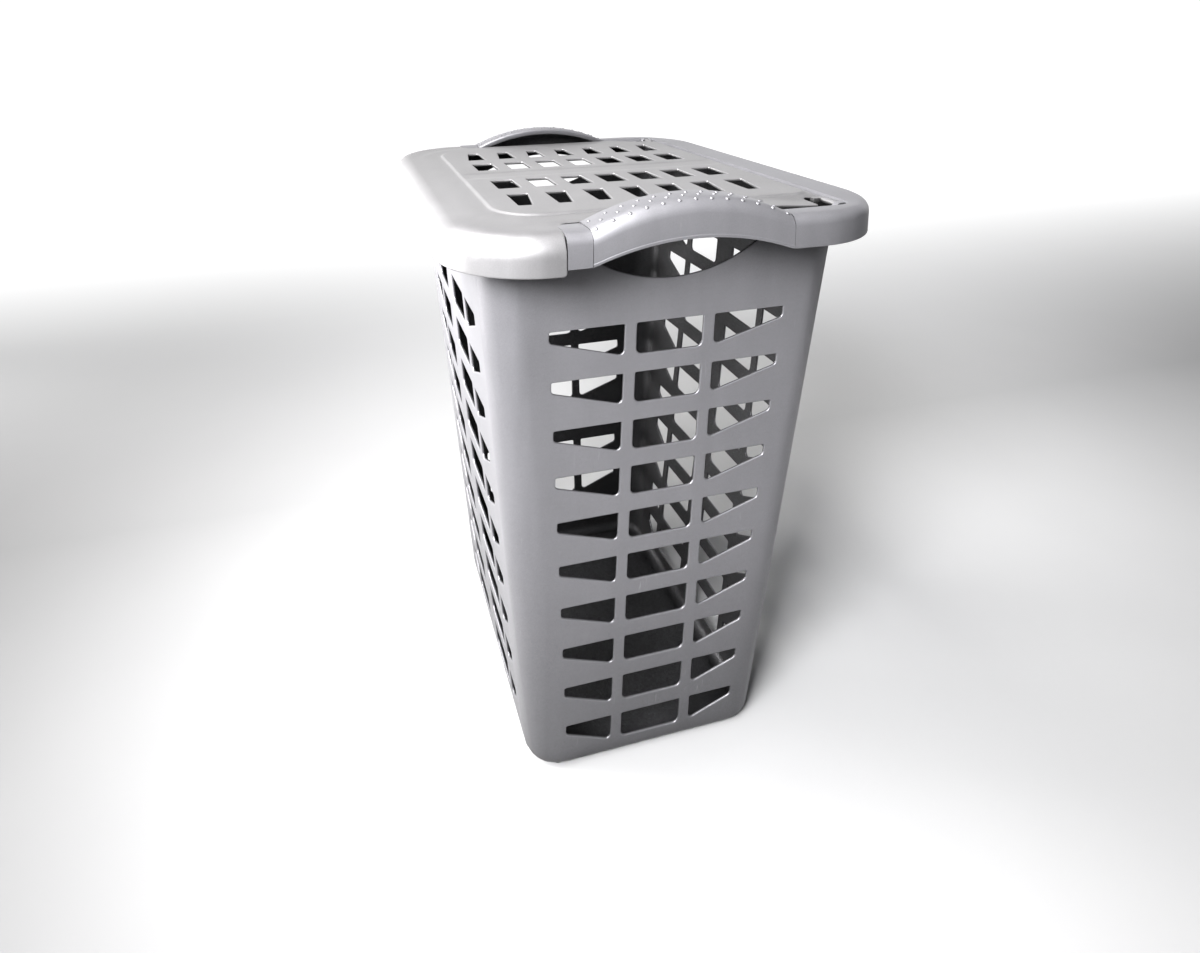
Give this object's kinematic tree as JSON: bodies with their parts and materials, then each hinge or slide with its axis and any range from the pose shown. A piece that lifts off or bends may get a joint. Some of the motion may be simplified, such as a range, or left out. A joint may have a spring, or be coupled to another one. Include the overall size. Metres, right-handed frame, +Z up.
{
  "type": "laundry hamper",
  "caption": "Tall tapered laundry hamper with slotted walls, rounded drop-skirt rim, arched handle at each end, and a slotted lid hinged along the rear.",
  "frame": {"origin": "centre of the base on the floor", "axes": "+Z up, +X along the long side towards the right-hand handle, +Y from the opening front to the hinged rear"},
  "size_m": [0.481, 0.3876, 0.5746],
  "materials": {
    "basket_plastic": "satin silver-grey moulded polypropylene",
    "lid_plastic": "satin silver-grey moulded polypropylene"
  },
  "bodies": {
    "basket": {"base_panel": "basket_plastic", "front_wall": "basket_plastic", "rear_wall": "basket_plastic", "end_wall_left": "basket_plastic", "end_wall_right": "basket_plastic", "corner_front_left": "basket_plastic", "corner_front_right": "basket_plastic", "corner_rear_left": "basket_plastic", "corner_rear_right": "basket_plastic", "front_rim": "basket_plastic", "front_rim_corner_left": "basket_plastic", "front_rim_corner_right": "basket_plastic", "rear_rim": "basket_plastic", "rear_rim_corner_left": "basket_plastic", "rear_rim_corner_right": "basket_plastic", "handle_foot_left": "basket_plastic", "handle_foot_right": "basket_plastic", "end_ledge_left": "basket_plastic", "end_ledge_right": "basket_plastic", "handle_grip_left": "basket_plastic", "handle_grip_right": "basket_plastic", "handle_skirt_left": "basket_plastic", "handle_skirt_right": "basket_plastic", "hinge_socket_left": "basket_plastic", "hinge_socket_right": "basket_plastic"},
    "lid": {"lid_panel": "lid_plastic", "lid_front_skirt": "lid_plastic", "lid_corner_skirt_left": "lid_plastic", "lid_corner_skirt_right": "lid_plastic", "hinge_pin_left": "lid_plastic", "hinge_pin_right": "lid_plastic"}
  },
  "joints": [
    {"name": "lid_hinge", "type": "hinge", "parent": "basket", "child": "lid", "pos_m": [0, 0.1465, 0.551], "axis": [-1, 0, 0], "range_deg": [0, 105]}
  ]
}
